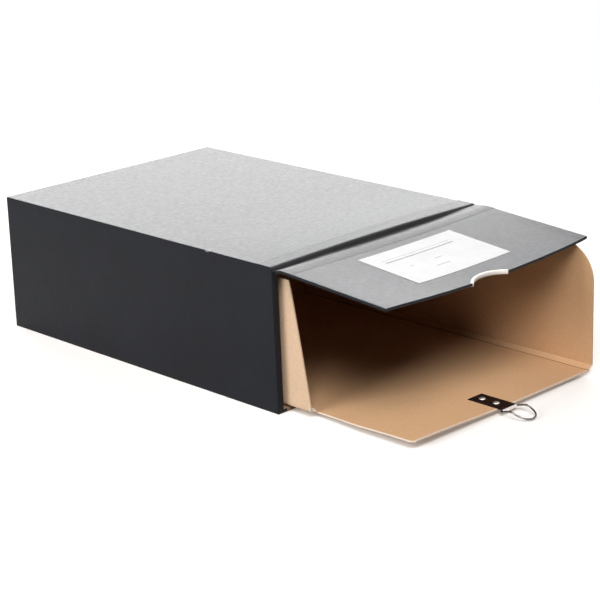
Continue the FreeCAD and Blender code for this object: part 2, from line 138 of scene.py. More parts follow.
# ---------------------------------------------------------------- camera
CAMERA_PLACE = (-1.1331, -1.2345, 0.5708)
CAMERA_YAW = -44.44
CAMERA_PITCH = -17.938
CAMERA_ROLL = -1.79
CAMERA_LENS = 115.24
CAMERA_SENSOR = 36

# ---------------------------------------------------------------- floor, surround and lamps
FLOOR_SIZE = 14
# the faint glow that only the camera and mirrors see, which lifts and warms the shadow
FLOOR_LIFT, FLOOR_TINT = 0.24, (1.0, 0.82, 0.68)
# how pale the floor is for the light it gives back to the object, and for the camera and mirrors
FLOOR_BOUNCE, FLOOR_SHOWN = 0.35, 0.86
# from the first distance to the second, in metres, the floor turns plain white
FLOOR_FADE = 0.5, 1.1
WORLD_LIGHT = 0.015
# name, place, target, size, power in watts, colour
LAMPS = (
    ("back_light", (1.5, 1.55, 0.97), (0, 0, 0.1), (3.2, 1.15), 82, (1, 1, 1)),
    ("key_light", (-0.9, -1.16, 1.6), (-0.05, -0.25, 0.05), (1.1, 1.1), 36, (1, 1, 1)),
    ("left_light", (-1.9, 0.2, 1.0), (0, -0.15, 0.06), (1.0, 1.0), 30, (0.98, 1.0, 1.02)),
)


def smooth(value):
    """0 below 0, 1 above 1, and an easy slope between."""
    value = min(max(value, 0), 1)
    return value * value * (3 - 2 * value)


def lip_bow(x, y):
    """How far the slipcase's top stands up near its mouth, between its two sides."""
    across = min(abs(x) / (HALF_WIDTH - SKIN), 1)
    return LIP_RISE * (1 - across ** 2) * smooth(1 - (y - MOUTH) / LIP_FADE)


def lip_roll(y):
    """How far the slipcase's top rolls down towards its mouth."""
    return LIP_ROLL * max(1 - max(y - MOUTH, 0) / ROLL_LENGTH, 0) ** 2


def rear_roll(x, out):
    """How far the flap's rear rolls down into the groove, which is deepest at its left end."""
    left = smooth((-x - LEFT_GROOVE) / LEFT_BLEND)
    right = smooth((x - RIGHT_GROOVE) / RIGHT_BLEND)
    return GROOVE_DEPTH * (1 + left - 0.5 * right) * max(1 - out / GROOVE_LENGTH, 0) ** GROOVE_SHAPE


def wall_lean(y):
    """How far the tray's left wall leans in from its place, from the back towards the mouth."""
    return WALL_LEAN * smooth((LEAN_START - y) / LEAN_LENGTH)


def flap_sag(x, out):
    """How far the flap hangs below its plane: it dips between its ends, and its right end stands higher."""
    across = min(abs(x) / HALF_WIDTH, 1)
    shape = LEFT_SAG_SHAPE if x < 0 else RIGHT_SAG_SHAPE
    dip = (REAR_SAG + (FRONT_SAG - REAR_SAG) * out / REACH) * (1 - across ** 2) ** shape
    lift = LEFT_LIFT + (RIGHT_LIFT - LEFT_LIFT) * (x + HALF_WIDTH) / (2 * HALF_WIDTH)
    return dip - lift * smooth(out / LIFT_START)


def floor_curl(x, y):
    """How far the free front corner of the tray's floor has curled up."""
    near_front = smooth((TRAY_LOW.y + CURL_LENGTH - y) / CURL_LENGTH)
    return CORNER_CURL * smooth(-x / CURL_WIDTH) ** CURL_SHAPE * near_front


def on_flap(x, out, up):
    """A point of the flap, from its place across, along and off the hinge axis."""
    return Vector((x, HINGE.y, HINGE.z)) + out * OUTWARD + (up - flap_sag(x, out)) * OFF_FACE


def along_flap(point):
    """How far out along the flap a point lies, from the hinge axis."""
    return (point - HINGE).dot(OUTWARD)


def mouth_slant(point):
    """How far the foot of the slipcase's left side stands forward of its top at the mouth."""
    near_mouth = smooth(1 - (point.y - MOUTH) / SLANT_FADE)
    return MOUTH_SLANT * (1 - point.z / TOP) * smooth(-point.x / HALF_WIDTH) * near_mouth


def shade_hem(point):
    """How far the rims of the slipcase's two sides are thickened inwards, just inside the mouth: black paper
    standing in for the shade in the gap beside the tray.
    """
    off_skin = smooth((HALF_WIDTH - HEM_SKIN - abs(point.x)) / HEM_SKIN_BLEND)
    beside_tray = smooth((abs(point.x) - HEM_INSIDE) / HEM_INSIDE_BLEND)
    near_mouth = 1 - smooth((point.y - MOUTH - HEM_DEPTH) / HEM_DEPTH)
    thicker = HEM_FOOT + (HEM_TOP - HEM_FOOT) * point.z / TOP
    return math.copysign(thicker * off_skin * beside_tray * near_mouth, -point.x)


def bend_case(point):
    """Bows and rolls the slipcase's top at the mouth, and brings its left side's foot forward."""
    near_top = smooth((point.z / TOP - TOP_BAND) / TOP_BLEND)
    rise = (lip_bow(point.x, point.y) - lip_roll(point.y)) * near_top
    return point + Vector((0, -mouth_slant(point), rise))


def shade_hem_case(point):
    """As bend_case, with the rims of the two sides thickened to stand in for the gap's shade."""
    return bend_case(point) + Vector((shade_hem(point), 0, 0))


def bend_floor(point):
    """Curls the floor's corner, and draws its left side in where the left wall stands on it."""
    near_wall = smooth((-point.x - DRAWN_START) / DRAWN_WIDTH)
    behind_front = smooth((point.y + DRAWN_FRONT) / DRAWN_LENGTH)
    drawn_in = wall_lean(point.y) * (near_wall * behind_front)
    return point + Vector((drawn_in, 0, floor_curl(point.x, point.y)))


def tighten_fold(point):
    """Brings the upper crease of a side wall's foot down, so that its sloping strip is narrower."""
    return point - Vector((0, 0, FOLD_DROP if FOLD_LOW < point.z < FOLD_HIGH else 0))


def lean_wall(point):
    """Leans the left wall in towards the mouth, and trims its sloping front end."""
    cut = WALL_CUT * smooth((MOUTH - point.y) / CUT_LENGTH)
    return tighten_fold(point) + Vector((wall_lean(point.y), cut, 0))


def lean_wall_board(point):
    """As lean_wall, with the outer side of the fold at the wall's foot nearly upright."""
    outer_foot = point.z < TRAY_LOW.z + FOOT_NEAR and point.x < TRAY_LOW.x - FOOT_OUTSIDE
    return lean_wall(point) + (FOLD_FILL if outer_foot else Vector())


# ---------------------------------------------------------------- mesh helpers
def new_object(name, data, material):
    """A scene object with its material."""
    made = bpy.data.objects.new(name, data)
    bpy.context.scene.collection.objects.link(made)
    data.materials.append(material)
    return made


def new_piece(name, body, material):
    """An empty mesh object that rides on a body."""
    piece = new_object(name, bpy.data.meshes.new(name), material)
    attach(piece, body)
    return piece


def fill(piece, shape, flat=False):
    """Moves a bmesh into a piece."""
    bmesh.ops.recalc_face_normals(shape, faces=shape.faces)
    for face in shape.faces:
        face.smooth = not flat
    shape.to_mesh(piece.data)
    shape.free()


def add_part(shape, part):
    """Moves one bmesh into another."""
    mesh = bpy.data.meshes.new("part")
    part.to_mesh(mesh)
    part.free()
    shape.from_mesh(mesh)
    bpy.data.meshes.remove(mesh)


def cut_plane(shape, place, normal, **options):
    """Cuts a bmesh by one plane."""
    everything = shape.verts[:] + shape.edges[:] + shape.faces[:]
    bmesh.ops.bisect_plane(shape, geom=everything, dist=1e-7, plane_co=place, plane_no=normal, **options)


def cut_across(shape, axis, place):
    """Cuts a bmesh by one plane across an axis."""
    normal = Vector([float(number == axis) for number in range(3)])
    cut_plane(shape, normal * place, normal)


def slice_up(shape, axis, spacing):
    """Cuts a bmesh by planes across one axis, evenly spaced, so that it can bend."""
    spots = [vertex.co[axis] for vertex in shape.verts]
    low, high = min(spots), max(spots)
    for place in spread(low, high, max(int((high - low) / spacing), 1))[1:-1]:
        cut_across(shape, axis, place)


def whole_faces(node):
    """A CAD node's shape as a bmesh, its corners welded and each flat face in one."""
    shape = bmesh.new()
    shape.from_mesh(NODES[node].data)
    bmesh.ops.remove_doubles(shape, verts=shape.verts, dist=2e-6)
    bmesh.ops.dissolve_limit(shape, angle_limit=math.radians(0.3), verts=shape.verts, edges=shape.edges)
    return shape


def shade_flat_faces(piece, weight):
    """Shades a piece's flat faces flat, and only its rounded edges round."""
    shading = piece.modifiers.new("flat_faces", "WEIGHTED_NORMAL")
    shading.weight = weight


def round_edges(piece, width, segments=2):
    """Rounds a piece's sharp edges."""
    bevel = piece.modifiers.new("rounding", "BEVEL")
    bevel.width = width
    bevel.segments = segments
    bevel.limit_method = "ANGLE"
    bevel.angle_limit = math.radians(30)
    bevel.miter_outer = "MITER_ARC"
    shade_flat_faces(piece, 80)


def bend(shape, rule):
    """Moves each corner of a bmesh by a rule."""
    for vertex in shape.verts:
        vertex.co = rule(vertex.co)


def grid(rows):
    """A bmesh sheet from rows of points."""
    shape = bmesh.new()
    lines = [[shape.verts.new(point) for point in row] for row in rows]
    for here, there in zip(lines, lines[1:]):
        for a, b, c, d in zip(here, here[1:], there[1:], there):
            shape.faces.new((a, b, c, d))
    return shape


def spread(low, high, count):
    """Even steps from low to high, both ends included."""
    return [low + (high - low) * number / count for number in range(count + 1)]


def turns(start, end, count):
    """The sine and cosine of even steps between two angles in degrees."""
    angles = [math.radians(angle) for angle in spread(start, end, count)]
    return [(math.sin(angle), math.cos(angle)) for angle in angles]


def arc(centre, radius, start, end, count):
    """Points on an arc in a plane, angles in degrees."""
    return [(centre[0] + radius * cosine, centre[1] + radius * sine)
            for sine, cosine in turns(start, end, count)]


# ---------------------------------------------------------------- materials
class Nodes:
    """A node tree, with short ways to add to it."""

    def __init__(self, tree):
        self.tree = tree

    def feed(self, socket, value):
        """Links a socket to another's value, or sets it."""
        if isinstance(value, bpy.types.NodeSocket):
            self.tree.links.new(value, socket)
        else:
            socket.default_value = value

    def node(self, kind, settings=(), **inputs):
        """A new node. Inputs are named with _ for a space."""
        made = self.tree.nodes.new(kind)
        for name, value in dict(settings).items():
            setattr(made, name, value)
        for name, value in inputs.items():
            self.feed(made.inputs[name.replace("_", " ")], value)
        return made

    def shaders(self, kind, *values):
        """A node that joins shaders, its inputs given in order."""
        made = self.node(kind)
        for socket, value in zip(made.inputs, values):
            self.feed(socket, value)
        return made.outputs[0]

    def maths(self, operation, *values):
        """One value worked out from others."""
        made = self.node("ShaderNodeMath", {"operation": operation})
        for socket, value in zip(made.inputs, values):
            self.feed(socket, value)
        return made.outputs["Value"]

    def span(self, value, low, high, new_low=0.0, new_high=1.0, kind="LINEAR"):
        """Values from low to high moved to new ones."""
        return self.node("ShaderNodeMapRange", {"interpolation_type": kind}, Value=value, From_Min=low,
                         From_Max=high, To_Min=new_low, To_Max=new_high).outputs["Result"]

    def rays(self, *kinds):
        """1 for the rays named, and 0 for all others."""
        path = self.node("ShaderNodeLightPath").outputs
        total = path[f"Is {kinds[0]} Ray"]
        for kind in kinds[1:]:
            total = self.maths("MAXIMUM", total, path[f"Is {kind} Ray"])
        return total


class Finish(Nodes):
    """A material: a Principled shader with helpers for its detail."""

    def __init__(self, name, roughness, **sockets):
        self.material = bpy.data.materials.new(name)
        self.material.use_nodes = True
        super().__init__(self.material.node_tree)
        self.shader = self.tree.nodes["Principled BSDF"]
        self.shader.inputs["Roughness"].default_value = roughness
        for socket, value in sockets.items():
            self.shader.inputs[socket.replace("_", " ")].default_value = value
        self.place = self.node("ShaderNodeTexCoord").outputs["Object"]

    def noise(self, size, detail, roughness=0.55, stretch=(1, 1, 1)):
        """Soft random values, whose spots are about size metres wide."""
        place = self.node("ShaderNodeMapping", Vector=self.place, Scale=stretch).outputs["Vector"]
        return self.node("ShaderNodeTexNoise", Vector=place, Scale=1 / size, Detail=detail,
                         Roughness=roughness).outputs["Fac"]

    def mix(self, amount, first, second):
        """A colour between two, each a socket or a plain colour."""
        made = self.node("ShaderNodeMix", {"data_type": "RGBA"})
        self.feed(made.inputs["Factor"], amount)
        for socket, value in zip([s for s in made.inputs if s.type == "RGBA"], (first, second)):
            self.feed(socket, value if isinstance(value, bpy.types.NodeSocket) else (*value[:3], 1))
        return next(s for s in made.outputs if s.type == "RGBA")

    def bump(self, height, depth, strength, below=None):
        """Relief from a value, over other relief if there is any."""
        made = self.node("ShaderNodeBump", Height=height, Distance=depth, Strength=strength)
        if below is not None:
            self.feed(made.inputs["Normal"], below)
        return made.outputs["Normal"]

    def scuffs(self):
        """Where the black has worn off: flecks along the slipcase's long top edges, and a nick in each."""
        x, y, z = self.node("ShaderNodeSeparateXYZ", Vector=self.place).outputs
        off_middle = self.maths("ABSOLUTE", x)
        side = self.span(off_middle, HALF_WIDTH - 0.9 * MM, HALF_WIDTH - 0.4 * MM)
        top = self.span(z, TOP - 0.9 * MM, TOP - 0.4 * MM)
        edge = self.maths("MULTIPLY", side, top)
        flecks = self.maths("MULTIPLY", edge, self.span(self.noise(3.5 * MM, 4, 0.7), 0.66, 0.7))
        along = self.maths("ABSOLUTE", self.maths("SUBTRACT", y, NICK_PLACE))
        near_side = self.span(off_middle, HALF_WIDTH - 3.2 * MM, HALF_WIDTH - 2.2 * MM)
        nick = self.maths("MULTIPLY", near_side, self.span(along, 1.2 * MM, 2.6 * MM, 1, 0))
        nick = self.maths("MULTIPLY", nick, self.span(self.noise(1.6 * MM, 3, 0.7), 0.46, 0.56))
        nick = self.maths("MULTIPLY", nick, self.span(z, TOP - 1.2 * MM, TOP - 0.8 * MM))
        return self.maths("MAXIMUM", flecks, nick)

    def finish(self, colour, roughness, normal):
        """The material, with what it has been given for its colour, roughness and relief."""
        for name, value in (("Base Color", colour), ("Roughness", roughness), ("Normal", normal)):
            if value is not None:
                self.feed(self.shader.inputs[name], value)
        return self.material


NICK_PLACE = -99 * MM
SCUFF = 0.42, 0.4, 0.38
# each with its darker tone, its lighter tone and its threads
PAPER_TINTS = (0.0055, 0.0062, 0.009), (0.0082, 0.0092, 0.0128), (0.02, 0.022, 0.028)
# the cloth's tints are several times paler than the paper's: painted fill light that lifts the shade in the
# hinge's groove
CLOTH_TINTS_LIFTING_SHADE = (0.03, 0.03, 0.032), (0.042, 0.042, 0.044), (0.085, 0.085, 0.088)


def shade(colour, share):
    """A colour made darker or lighter."""
    return tuple(channel * share for channel in colour)


def black_paper(name, weave, tints, gloss):
    """Black covering paper with a fine laid structure, a low sheen, and pale scuffs along its top edges."""
    paint = Finish(name, 0.4, Specular_IOR_Level=0.13)
    threads = paint.noise(1.1 * MM, 2, 0.6, (0.2, 1, 1))
    cross = paint.noise(1.1 * MM, 2, 0.6, (1, 0.2, 0.2))
    mottle = paint.noise(4 * MM, 3, 0.6)
    cloud = paint.noise(50 * MM, 4)
    low, high, thread = tints
    tone = paint.mix(paint.span(cloud, 0.3, 0.7), low, high)
    tone = paint.mix(paint.span(threads, 0.4, 0.8, 0, 0.3), tone, thread)
    tone = paint.mix(paint.scuffs(), tone, SCUFF)
    rough = paint.span(paint.maths("ADD", threads, cross), 0.7, 1.3, *gloss)
    relief = paint.bump(cross, 0.08 * MM * weave, 0.5)
    relief = paint.bump(threads, 0.08 * MM * weave, 0.5, relief)
    relief = paint.bump(mottle, 0.16 * MM * weave, 0.4, relief)
    return paint.finish(tone, rough, relief)


def grey_board(name):
    """Raw brown greyboard, flecked and fibrous."""
    paint = Finish(name, 0.9)
    flecks = paint.noise(1.2 * MM, 4, 0.7)
    layers = paint.noise(0.4 * MM, 2, 0.5, (0.05, 0.05, 1))
    tone = paint.mix(paint.span(flecks, 0.35, 0.7), (0.30, 0.17, 0.105), (0.47, 0.30, 0.2))
    tone = paint.mix(paint.span(layers, 0.4, 0.65, 0, 0.45), tone, (0.2, 0.11, 0.065))
    return paint.finish(tone, None, paint.bump(flecks, 0.2 * MM, 0.6))


def tan_board(name, base):
    """The tray's solid board: warm tan, faintly mottled, with fine fibres and dark specks."""
    paint = Finish(name, 0.88, Specular_IOR_Level=0.12)
    cloud = paint.noise(45 * MM, 5, 0.6)
    grain = paint.noise(1.7 * MM, 3, 0.75)
    fibres = paint.noise(1.3 * MM, 3, 0.6, (1, 0.6, 0.8))
    specks = paint.noise(1 * MM, 2, 0.5)
    tone = paint.mix(paint.span(cloud, 0.3, 0.72), base, shade(base, 0.9))
    tone = paint.mix(paint.span(grain, 0.3, 0.7, 0, 0.4), shade(base, 0.8), tone)
    tone = paint.mix(paint.span(fibres, 0.35, 0.75, 0, 0.22), tone, shade(base, 1.15))
    tone = paint.mix(paint.span(specks, 0.6, 0.72, 0, 0.45), tone, shade(base, 0.45))
    relief = paint.bump(fibres, 0.1 * MM, 0.5, paint.bump(cloud, 0.6 * MM, 0.25))
    return paint.finish(tone, paint.span(specks, 0.3, 0.7, 0.82, 0.94), relief)


def plain(name, colour, roughness, grain, depth, **sockets):
    """A smooth material with a little mottling and relief."""
    paint = Finish(name, roughness, **sockets)
    cloud = paint.noise(grain, 4)
    pale = tuple(min(channel, 1) for channel in shade(colour, 1.06))
    tone = paint.mix(paint.span(cloud, 0.3, 0.7), shade(colour, 0.92), pale)
    rough = paint.span(cloud, 0.3, 0.7, roughness * 0.85, min(roughness * 1.15, 1))
    return paint.finish(tone, rough, paint.bump(cloud, depth, 0.4))


PAPER_BLACK = black_paper("black_structured_paper", 1.0, PAPER_TINTS, (0.36, 0.46))
CLOTH_BLACK = black_paper("hinge_cloth", 1.6, CLOTH_TINTS_LIFTING_SHADE, (0.4, 0.5))
GREYBOARD = grey_board("raw_greyboard")
TAN = tan_board("tan_solid_board", (0.77, 0.46, 0.25))
# a paler, painted-light copy of the tan board for the whole left wall, standing in for the strong light on
# its outer face
TAN_PAINTED_LIGHT = tan_board("tan_left_wall_painted_light", (0.86, 0.6, 0.4))
TAN_EDGE = plain("tan_cut_edge", (0.88, 0.71, 0.57), 0.85, 1.5 * MM, 0.1 * MM, Specular_IOR_Level=0.1)
TORN = plain("torn_board", (0.92, 0.84, 0.79), 0.9, 1 * MM, 0.2 * MM, Specular_IOR_Level=0.1)
TAPE = tan_board("gummed_tape", (0.63, 0.4, 0.24))
# painted shade: the dark brown of the lines along the walls' creases, where the folds fall into shade
CREASE_SHADE_PAINT = plain("crease_shade", (0.3, 0.17, 0.085), 0.9, 2 * MM, 0.01 * MM, Specular_IOR_Level=0.1)
INK = plain("grey_ink", (0.16, 0.16, 0.165), 0.6, 2 * MM, 0.01 * MM)
EDGING = plain("cream_edging", (0.83, 0.76, 0.69), 0.35, 4 * MM, 0.05 * MM)
ENAMEL = plain("black_enamel", (0.012, 0.007, 0.006), 0.25, 3 * MM, 0.03 * MM, Specular_IOR_Level=0.25)
LABEL = plain("label_paper", (0.75, 0.75, 0.745), 0.75, 20 * MM, 0.02 * MM, Specular_IOR_Level=0.1)
NICKEL = plain("nickel_plate", (0.93, 0.88, 0.78), 0.42, 1.5 * MM, 0.04 * MM, Metallic=1.0)
# painted reflection: the wire's base is dark grey, standing in for the dark surroundings that the bright
# steel reflects
STEEL_PAINTED_DARK = plain("steel_wire_painted_dark_reflection", (0.2, 0.195, 0.19), 0.2, 2 * MM, 0.01 * MM, Metallic=1.0)
KNUCKLE = plain("bare_knuckle", (0.86, 0.82, 0.8), 0.3, 2 * MM, 0.02 * MM, Metallic=1.0)

# ---------------------------------------------------------------- the slipcase
EDGE_ROUND = 0.9 * MM
RIM_ROUND = 1.2 * MM
INNER_ROUND = 0.5 * MM
TURN_IN = 15 * MM
CORNER_COVER = 10 * MM
THREAD = 0.2 * MM
BOARD_ROUND, BARE_BOARD_ROUND = 0.6 * MM, 0.25 * MM
# where the boards are cut so that they can bend, in millimetres from the mouth
MOUTH_CUTS = 1.2, 2.5, 4, 7, 10.5, 14, 30, 45, 60


def case_loop(inset, y, past_rim):
    """One closed ring of the slipcase's cover, seen from the mouth, at an inset from its outside."""
    corner = max(EDGE_ROUND - inset, THREAD)
    bare_edge = HALF_WIDTH - CORNER_COVER
    low_inset, bare_inset = min(inset, SKIN), min(inset, PAPER)
    low_y = MOUTH + PAPER if past_rim else y
    over_rim = inset > PAPER and y < MOUTH + RIM_ROUND
    bare_y = MOUTH + PAPER if over_rim or past_rim else y
    side = HALF_WIDTH - inset - corner
    low, high = low_inset + corner, TOP - inset - corner

    def quarter(centre_x, centre_z, start):
        """The round of one corner. In the rings past the rim, its part below the feet stays at the mouth."""
        return [Vector((x, low_y if z < low else y, z))
                for x, z in arc((centre_x, centre_z), corner, start, start + 90, 5)]

    # the underside, left to right: covered corner, bare stretch, covered corner
    points = [Vector((-bare_edge - THREAD, low_y, low_inset))]
    points += [Vector((x, bare_y, bare_inset)) for x in spread(-bare_edge, bare_edge, 4)]
    points += [Vector((bare_edge + THREAD, low_y, low_inset))]
    # the right side, the top and the left side, with their corners
    points += quarter(side, low, -90)
    points += [Vector((side + corner, y, z)) for z in spread(low, high, 12)[1:-1]]
    points += quarter(side, high, 0)
    points += [Vector((x, y, high + corner)) for x in spread(side, -side, 32)[1:-1]]
    points += quarter(-side, high, 90)
    points += [Vector((-side - corner, y, z)) for z in spread(high, low, 12)[1:-1]]
    points += quarter(-side, low, 180)
    return points


def case_cover():
    """Black paper over the slipcase: rounded edges, a rim turned into the mouth, the bottom board bare."""
    turned = SKIN + PAPER
    rings = [(EDGE_ROUND * (1 - sine), CASE_BACK - EDGE_ROUND * (1 - cosine), False)
             for sine, cosine in turns(0, 90, 5)]
    rings += [(0, y, False) for y in spread(CASE_BACK - EDGE_ROUND, MOUTH + LIP_FADE, 8)[1:]]
    rings += [(0, y, False) for y in spread(MOUTH + LIP_FADE, MOUTH + RIM_ROUND, 14)[1:]]
    rings += [(RIM_ROUND * (1 - cosine), MOUTH + RIM_ROUND * (1 - sine), False)
              for sine, cosine in turns(0, 90, 6)[1:]]
    rings += [(turned - INNER_ROUND + INNER_ROUND * sine, MOUTH + INNER_ROUND * (1 - cosine), sine > 0)
              for sine, cosine in turns(0, 90, 3)]
    rings += [(turned, MOUTH + depth * MM, True) for depth in (3.5, 7, 10.5, 14)]
    rings += [(turned, MOUTH + TURN_IN, True), (SKIN, MOUTH + TURN_IN, True)]
    shape = bmesh.new()
    loops = [[shape.verts.new(shade_hem_case(point)) for point in case_loop(*ring)] for ring in rings]
    for here, there in zip(loops, loops[1:]):
        for number in range(len(here)):
            after = (number + 1) % len(here)
            shape.faces.new((here[number], here[after], there[after], there[number]))
    shape.faces.new(loops[0])
    cover = new_piece("slipcase_cover", "slipcase", PAPER_BLACK)
    fill(cover, shape)
    shade_flat_faces(cover, 60)
    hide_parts("slipcase_wrap_paper", "slipcase_back_paper", "slipcase_base_paper")


def case_board(node):
    """One of the slipcase's boards, with softened edges, bent with the cover."""
    shape = whole_faces(node)
    if node == "slipcase_top_board":
        slice_up(shape, 0, 12 * MM)
        slice_up(shape, 1, 12 * MM)
    if node == "slipcase_bottom_board":
        slice_up(shape, 0, 25 * MM)
    if node != "slipcase_back_board":
        for step in MOUTH_CUTS:
            cut_across(shape, 1, MOUTH + step * MM)
        bend(shape, shade_hem_case if node in ("slipcase_left_board", "slipcase_right_board") else bend_case)
    board = new_piece(node.replace("slipcase_", "case_"), "slipcase", GREYBOARD)
    fill(board, shape)
    round_edges(board, BOARD_ROUND if node != "slipcase_bottom_board" else BARE_BOARD_ROUND)
    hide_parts(node)


# ---------------------------------------------------------------- the hinge cloth
def hinge_cloth():
    """One strip of cloth from the slipcase's top, round its lip into the groove, and out onto the flap."""
    # along the slipcase as (y from the mouth, z from the cloth's top): the cut edge, the top and the lip
    start = CLOTH_START - MOUTH
    on_case = [(start + 1.6 * MM, -0.35 * MM), (start + 0.8 * MM, -0.1 * MM), (start, 0.1 * MM)]
    on_case += [(y, 0) for y in spread(start - 1.6 * MM, 7 * MM, 4)]
    on_case += [(y * MM, 0) for y in (5.5, 4.6, 3.7, 2.9, 2.1, 1.4)]
    on_case += [(0.8 * MM, -0.06 * MM), (0.3 * MM, -0.3 * MM)]
    on_case += [(-0.02 * MM, -0.75 * MM), (-0.15 * MM, -1.3 * MM)]
    # over the flap as (place out from the hinge, height): the groove, the rolled rear, the face, the edge
    valley = [out * MM for out in (-1.6, -0.8, 0, 1, 2, 3, 4, 5, 6, 7, 8)]
    face = -PAPER + 0.14 * MM
    on_leaf = [(out, face) for out in valley + spread(9 * MM, CLOTH_ON_FLAP - 1.2 * MM, 4)]
    on_leaf += [(CLOTH_ON_FLAP - 0.2 * MM, face - 0.03 * MM), (CLOTH_ON_FLAP + 1.3 * MM, face - 0.22 * MM)]

    def row(x):
        """The strip's line at one place across."""
        points = [Vector((x, MOUTH + y, CLOTH_TOP + z + lip_bow(x, MOUTH + y) - lip_roll(MOUTH + y)))
                  for y, z in on_case]
        leaf = [on_flap(x, out, up - rear_roll(x, out)) for out, up in on_leaf]
        foot = leaf[0] + Vector((0, 0.15 * MM, 0.45 * MM))
        return points + [points[-1].lerp(foot, 0.5), foot] + leaf

    side = HALF_WIDTH - 0.15 * MM
    cloth = new_object("hinge_cloth", bpy.data.meshes.new("hinge_cloth"), CLOTH_BLACK)
    fill(cloth, grid([row(x) for x in spread(-side, side, 48)]))
    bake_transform(cloth)
    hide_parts("hinge_cloth_case_leaf", "hinge_cloth_flap_leaf")


# ---------------------------------------------------------------- the flap
# where the flap's rear is cut so that it can roll, in millimetres out from the hinge
REAR_CUTS = 3, 4, 5, 6, 7, 8, 9
# the notch edging's section: millimetres in from the notch, then off the flap's upper face
EDGING_OVER = ((2.1, -0.1), (2.0, 0.25), (1.6, 0.48), (0.8, 0.55), (0.1, 0.4), (-0.4, 0.0), (-0.6, -0.6))
# the same off its lower face, from the notch inwards
EDGING_UNDER = ((-0.6, 0.6), (-0.4, 0.0), (0.1, -0.4), (0.8, -0.5), (1.6, -0.45), (2.0, -0.25), (2.1, 0.1))
EDGING_PAST = 0.3 * MM
FLAP_ROUND = 0.7 * MM
LABEL_SHIFT = 2.2 * MM
LABEL_REAR_TRIM, LABEL_FRONT_TRIM = 1.0 * MM, 0.5 * MM
# the lower and upper faces of the label and of its ink, off the flap's upper face
LABEL_FACES, INK_FACES = (-0.02 * MM, 0.15 * MM), (0.16 * MM, 0.17 * MM)
# the label's plain rules, in millimetres: left end, length, place out from the hinge, thickness
RULES = ((-46, 82, 48.5, 1.5), (-46, 82, 44.6, 0.45), (-35, 5, 65.2, 0.7), (-5, 9, 65.2, 0.7),
         (-16.5, 17, 77.4, 0.7))


def flap_outline():
    """The flap's edge in its own plane, as (x, out) points, with the finger notch in its front."""
    half_chord = math.sqrt(NOTCH_RADIUS ** 2 - (NOTCH_CENTRE - REACH) ** 2)
    reach_angle = math.degrees(math.acos(half_chord / NOTCH_RADIUS))
    notch = arc((NOTCH_MIDDLE, NOTCH_CENTRE), NOTCH_RADIUS, 360 - reach_angle, 180 + reach_angle, 20)
    rear = [(-HALF_WIDTH, FLAP_REAR), (HALF_WIDTH, FLAP_REAR)]
    return rear + [(HALF_WIDTH, REACH)] + notch + [(-HALF_WIDTH, REACH)]


def flap_panel():
    """The flap: board in black paper, softly rounded at its ends and front, with the notch."""
    shape = bmesh.new()
    low, high = -PAPER - FLAP_THICK, -PAPER
    under = [shape.verts.new((x, out, low)) for x, out in flap_outline()]
    over = [shape.verts.new((x, out, high)) for x, out in flap_outline()]
    shape.faces.new(under)
    shape.faces.new(over)
    for number in range(len(under)):
        after = (number + 1) % len(under)
        shape.faces.new((under[number], under[after], over[after], over[number]))
    slice_up(shape, 0, 7 * MM)
    slice_up(shape, 1, 12 * MM)
    for out in REAR_CUTS:
        cut_across(shape, 1, out * MM)
    bend(shape, lambda spot: on_flap(spot.x, spot.y, spot.z - rear_roll(spot.x, spot.y)))
    panel = new_piece("flap_panel", "flap", PAPER_BLACK)
    fill(panel, shape)
    round_edges(panel, FLAP_ROUND, 3)
    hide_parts("flap_cover_paper", "flap_lining_paper", "flap_board")


def notch_channel():
    """The edging that grips the flap round its notch: a soft channel turned about the notch's axis."""
    section = [(away, -PAPER + off * MM) for away, off in EDGING_OVER]
    section += [(away, -PAPER - FLAP_THICK + off * MM) for away, off in EDGING_UNDER]
    limit = math.acos((NOTCH_CENTRE - REACH - EDGING_PAST) / NOTCH_RADIUS)
    rows = []
    for away, level in section:
        radius = NOTCH_RADIUS + away * MM
        rows.append([on_flap(NOTCH_MIDDLE + radius * math.sin(turn), NOTCH_CENTRE - radius * math.cos(turn),
                             level) for turn in spread(-limit, limit, 40)])
    shape = grid(rows + rows[:1])
    bmesh.ops.remove_doubles(shape, verts=shape.verts, dist=1e-7)
    bmesh.ops.holes_fill(shape, edges=shape.edges, sides=0)
    edging = new_piece("notch_channel", "flap", EDGING)
    fill(edging, shape)
    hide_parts("notch_edging")


def flap_strip(shape, left, right, front, rear, faces):
    """Adds a thin sheet that lies on the flap, and bends with it, to a bmesh."""
    for height in faces:
        add_part(shape, grid([[on_flap(x, out, -PAPER + height) for x in spread(left, right, 16)]
                              for out in spread(rear, front, 6)]))


def title_label():
    """The blank label, and the plain rules on it."""
    low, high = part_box("title_label")
    rear = along_flap(Vector((0, high.y, high.z))) + LABEL_REAR_TRIM
    front = along_flap(Vector((0, low.y, low.z))) + LABEL_FRONT_TRIM
    left = low.x - LABEL_SHIFT
    right = left + high.x - low.x
    paper = bmesh.new()
    flap_strip(paper, left, right, front, rear, LABEL_FACES)
    label = new_piece("blank_label", "flap", LABEL)
    fill(label, paper, flat=True)
    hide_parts("title_label")
    rules = bmesh.new()
    for start, length, out, thick in RULES:
        flap_strip(rules, start * MM, (start + length) * MM, (out + thick) * MM, out * MM, INK_FACES)
    fill(new_piece("label_rules", "flap", INK), rules, flat=True)


# ---------------------------------------------------------------- the tray
TRAY_ROUND, TAB_ROUND = 0.22 * MM, 0.12 * MM
# a cut edge is narrower than this
NARROW = 2 * MM
# how far the painted crease shade lines lie off the board, and how wide each is on both of its sides
CREASE_LIFT = 0.04 * MM
LOWER_CREASE, UPPER_CREASE = 0.42 * MM, 0.2 * MM
